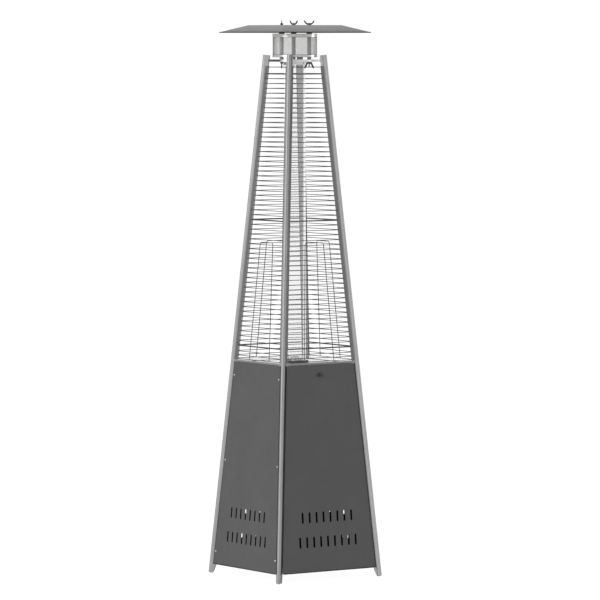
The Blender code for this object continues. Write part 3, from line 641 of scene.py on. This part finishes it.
def wing_nut(name, node, matrix, outline):
    """Local Z points to the wing tips."""
    boss = turned(name + "_boss", [(0.0033, 0.0075), (0.0046, 0.0075), (0.0052, 0.0069), (0.0063, 0.0008),
                                   (0.0060, 0.0), (0.0033, 0.0)], matrix, steps=24, ring=True)
    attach(dress(boss, "dark_zinc"), "frame")
    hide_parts(node)
    for label, sign in (("a", 1), ("b", -1)):
        curve = bpy.data.curves.new("%s_wing_%s" % (name, label), "CURVE")
        curve.dimensions = "2D"
        curve.fill_mode = "BOTH"
        curve.extrude = 0.0007
        curve.bevel_depth = 0.0006
        curve.bevel_resolution = 2
        spline = curve.splines.new("BEZIER")
        spline.bezier_points.add(len(outline) - 1)
        for point, (x, z) in zip(spline.bezier_points, outline):
            point.co = (sign * x, z, 0.0)
            point.handle_left_type = point.handle_right_type = "AUTO"
        spline.use_cyclic_u = True
        spline.resolution_u = 4
        wing = add(curve.name, curve, matrix @ Matrix.Rotation(math.pi / 2, 4, "X"))
        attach(dress(wing, "dark_zinc"), "frame")


def make_wing_nuts():
    """Nuts with curved wings stand on the reflector, and nuts with straight ones hang under the plate."""
    turns = ((180.0, 54.75, 60.0), (300.0, 24.75, 48.0), (60.0, 45.75, 60.0))
    for number, (angle, upper_turn, lower_turn) in enumerate(turns, start=1):
        x, y = STUD_CIRCLE * math.cos(math.radians(angle)), STUD_CIRCLE * math.sin(math.radians(angle))
        node = "upper_wing_nut_%d" % number
        turn = Matrix.Rotation(math.radians(angle + upper_turn), 4, "Z")
        wing_nut("upper_nut_%d" % number, node, Matrix.Translation((x, y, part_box(node)[0].z)) @ turn,
                 CURVED_WING)
        node = "lower_wing_nut_%d" % number
        turn = Matrix.Rotation(math.radians(angle + lower_turn), 4, "Z") @ Matrix.Rotation(math.pi, 4, "X")
        wing_nut("lower_nut_%d" % number, node, Matrix.Translation((x, y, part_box(node)[1].z)) @ turn,
                 STRAIGHT_WING)


def make_studs():
    """Threaded rods with a spacer tube, a washer and a wide black nut under the reflector."""
    spacer_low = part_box("top_plate")[1].z + GAP
    spacer_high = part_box("reflector")[1].z - 0.001 - 2 * GAP
    nut_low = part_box("reflector")[0].z - 0.005
    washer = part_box("top_plate")[0].z - GAP
    for number in (1, 2, 3):
        low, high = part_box("head_stud_%d" % number)
        centre = Matrix.Translation(((low.x + high.x) / 2, (low.y + high.y) / 2, 0.0))
        pitch, crest, root = 0.0011, 0.0030, 0.0025
        thread = []
        for index in range(int((high.z - low.z) / pitch)):
            z = low.z + index * pitch
            thread += [(root, z + 0.0001), (crest, z + pitch * 0.5)]
        rod = turned("stud_%d_thread" % number, [(0.0, low.z)] + thread + [(root, high.z), (0.0, high.z)],
                     centre, steps=16, smooth_angle=60)
        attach(dress(rod, "satin_steel"), "frame")
        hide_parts("head_stud_%d" % number)
        tube = turned("stud_%d_spacer" % number,
                      [(0.0074, spacer_low), (0.0080, spacer_low + 0.0006), (0.0080, nut_low - 0.0006),
                       (0.0074, nut_low), (0.0035, nut_low), (0.0035, spacer_low)],
                      centre, steps=32, ring=True)
        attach(dress(tube, "spacer_steel"), "frame")
        cap = turned("stud_%d_nut" % number,
                     [(0.0035, nut_low), (0.0105, nut_low), (0.0115, nut_low + 0.001),
                      (0.0115, spacer_high - 0.001), (0.0105, spacer_high), (0.0035, spacer_high)],
                     centre, steps=24, ring=True)
        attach(dress(cap, "black_plastic"), "frame")
        ring = turned("stud_%d_washer" % number,
                      [(0.0034, washer - 0.0008), (0.0085, washer - 0.0008), (0.0085, washer),
                       (0.0034, washer)], centre, steps=32, ring=True)
        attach(dress(ring, "satin_steel"), "frame")


def make_reflector_hem():
    """The rim of the reflector is turned down into a narrow lip."""
    low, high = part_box("reflector")
    half = high.x
    lip = [(half - 0.0012, low.z + 0.0006), (half, low.z + 0.0024), (half + 0.0006, low.z + 0.0018),
           (half + 0.0006, low.z - 0.0010), (half, low.z - 0.0016), (half - 0.0008, low.z - 0.0016)]
    bm = bmesh.new()
    rings = [[bm.verts.new((sx * reach, sy * reach, z)) for sx, sy in ((1, 1), (-1, 1), (-1, -1), (1, -1))]
             for reach, z in lip]
    for first, second in zip(rings, rings[1:] + rings[:1]):
        for corner in range(4):
            after = (corner + 1) % 4
            bm.faces.new([first[corner], first[after], second[after], second[corner]])
    bmesh.ops.recalc_face_normals(bm, faces=bm.faces)
    # the lip's dark steel is painted shade under the reflector's rim
    hem = dress(mesh_from(bm, "reflector_hem"), "painted_shade_hem_steel")
    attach(hem, "frame")


# ---------------------------------------------------------------- flame tube
def make_glass():
    """An open tube with rounded lips."""
    low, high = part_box("glass_tube")
    outer = (high.x - low.x) / 2
    inner, lip = outer - 0.003, 0.0008
    profile = [(outer - lip, low.z), (outer, low.z + lip), (outer, high.z - lip), (outer - lip, high.z),
               (inner + lip, high.z), (inner, high.z - lip), (inner, low.z + lip), (inner + lip, low.z)]
    tube = dress(turned("flame_tube_glass", profile, steps=96, ring=True), "tube_glass")
    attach(tube, "frame")
    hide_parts("glass_tube")


# ---------------------------------------------------------------- wheels
def make_wheels():
    """A grooved tyre on a dished hub."""
    bore, boss = 0.0043, 0.0085
    for name in ("wheel_left", "wheel_right"):
        low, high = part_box(name)
        radius, half = (high.z - low.z) / 2, (high.x - low.x) / 2
        matrix = Matrix.Translation((low + high) / 2) @ Matrix.Rotation(math.pi / 2, 4, "Y")
        side = [(radius - 0.006, half - 0.001), (radius - 0.003, half), (radius - 0.0012, half - 0.0008),
                (radius, half - 0.003)]
        grooves = []
        for z in (0.0022, -0.0022):
            grooves += [(radius, z + 0.0008), (radius - 0.0008, z + 0.0004), (radius - 0.0008, z - 0.0004),
                        (radius, z - 0.0008)]
        tyre = side + grooves + [(r, -z) for r, z in reversed(side)]
        piece = dress(turned(name + "_tyre", tyre, matrix, steps=64, ring=True), "rubber")
        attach(piece, name)
        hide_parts(name)
        face = [(bore, half), (boss, half), (boss + 0.001, half - 0.002), (radius - 0.0085, half - 0.0035),
                (radius - 0.0062, half - 0.0012)]
        hub = face + [(r, -z) for r, z in reversed(face)]
        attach(dress(turned(name + "_hub", hub, matrix, steps=48, ring=True), "black_plastic"), name)


# ---------------------------------------------------------------- surroundings
def make_floor():
    """A plain floor far wider than the view."""
    bm = bmesh.new()
    bmesh.ops.create_grid(bm, x_segments=1, y_segments=1, size=60.0)
    floor = mesh_from(bm, "floor")
    floor.data.materials.append(floor_look())


def area_light(name, place, target, size, energy):
    data = bpy.data.lights.new(name, "AREA")
    data.shape = "DISK"
    data.size = size
    data.energy = energy
    light = add(name, data)
    light.location = place
    light.rotation_euler = (Vector(target) - Vector(place)).to_track_quat("-Z", "Y").to_euler()


def make_lights():
    """A white surround that looks brighter than its light, a soft key from the left and a weak fill."""
    world = bpy.data.worlds.new("studio")
    world.use_nodes = True
    nodes, links = world.node_tree.nodes, world.node_tree.links
    background = nodes["Background"]
    background.inputs["Color"].default_value = (1.0, 1.0, 1.0, 1.0)
    path = nodes.new("ShaderNodeLightPath")
    strength = nodes.new("ShaderNodeMapRange")
    strength.inputs["To Min"].default_value = 0.55
    strength.inputs["To Max"].default_value = 1.02
    links.new(path.outputs["Is Camera Ray"], strength.inputs["Value"])
    links.new(strength.outputs["Result"], background.inputs["Strength"])
    bpy.context.scene.world = world
    middle = (0.0, 0.0, 1.1)
    area_light("key", (-7.5, -0.8, 3.8), middle, 3.0, 300.0)
    area_light("fill", (7.2, -2.2, 3.0), middle, 3.0, 90.0)


def make_camera():
    data = bpy.data.cameras.new("camera")
    data.sensor_width = 36.0
    data.lens = 272.2
    camera = add("camera", data)
    camera.location = (-10.287, -15.100, 2.1628)
    camera.rotation_euler = (math.radians(86.707), 0.0, math.radians(-34.33))
    bpy.context.scene.camera = camera
    bpy.context.scene.view_settings.view_transform = "Standard"


dress_cad_nodes()
make_guards()
make_guard_loops()
make_panel_hems()
make_panel_screws()
make_guard_screws()
make_flame_screen()
make_wing_nuts()
make_studs()
make_reflector_hem()
make_glass()
make_wheels()
make_floor()
make_lights()
make_camera()
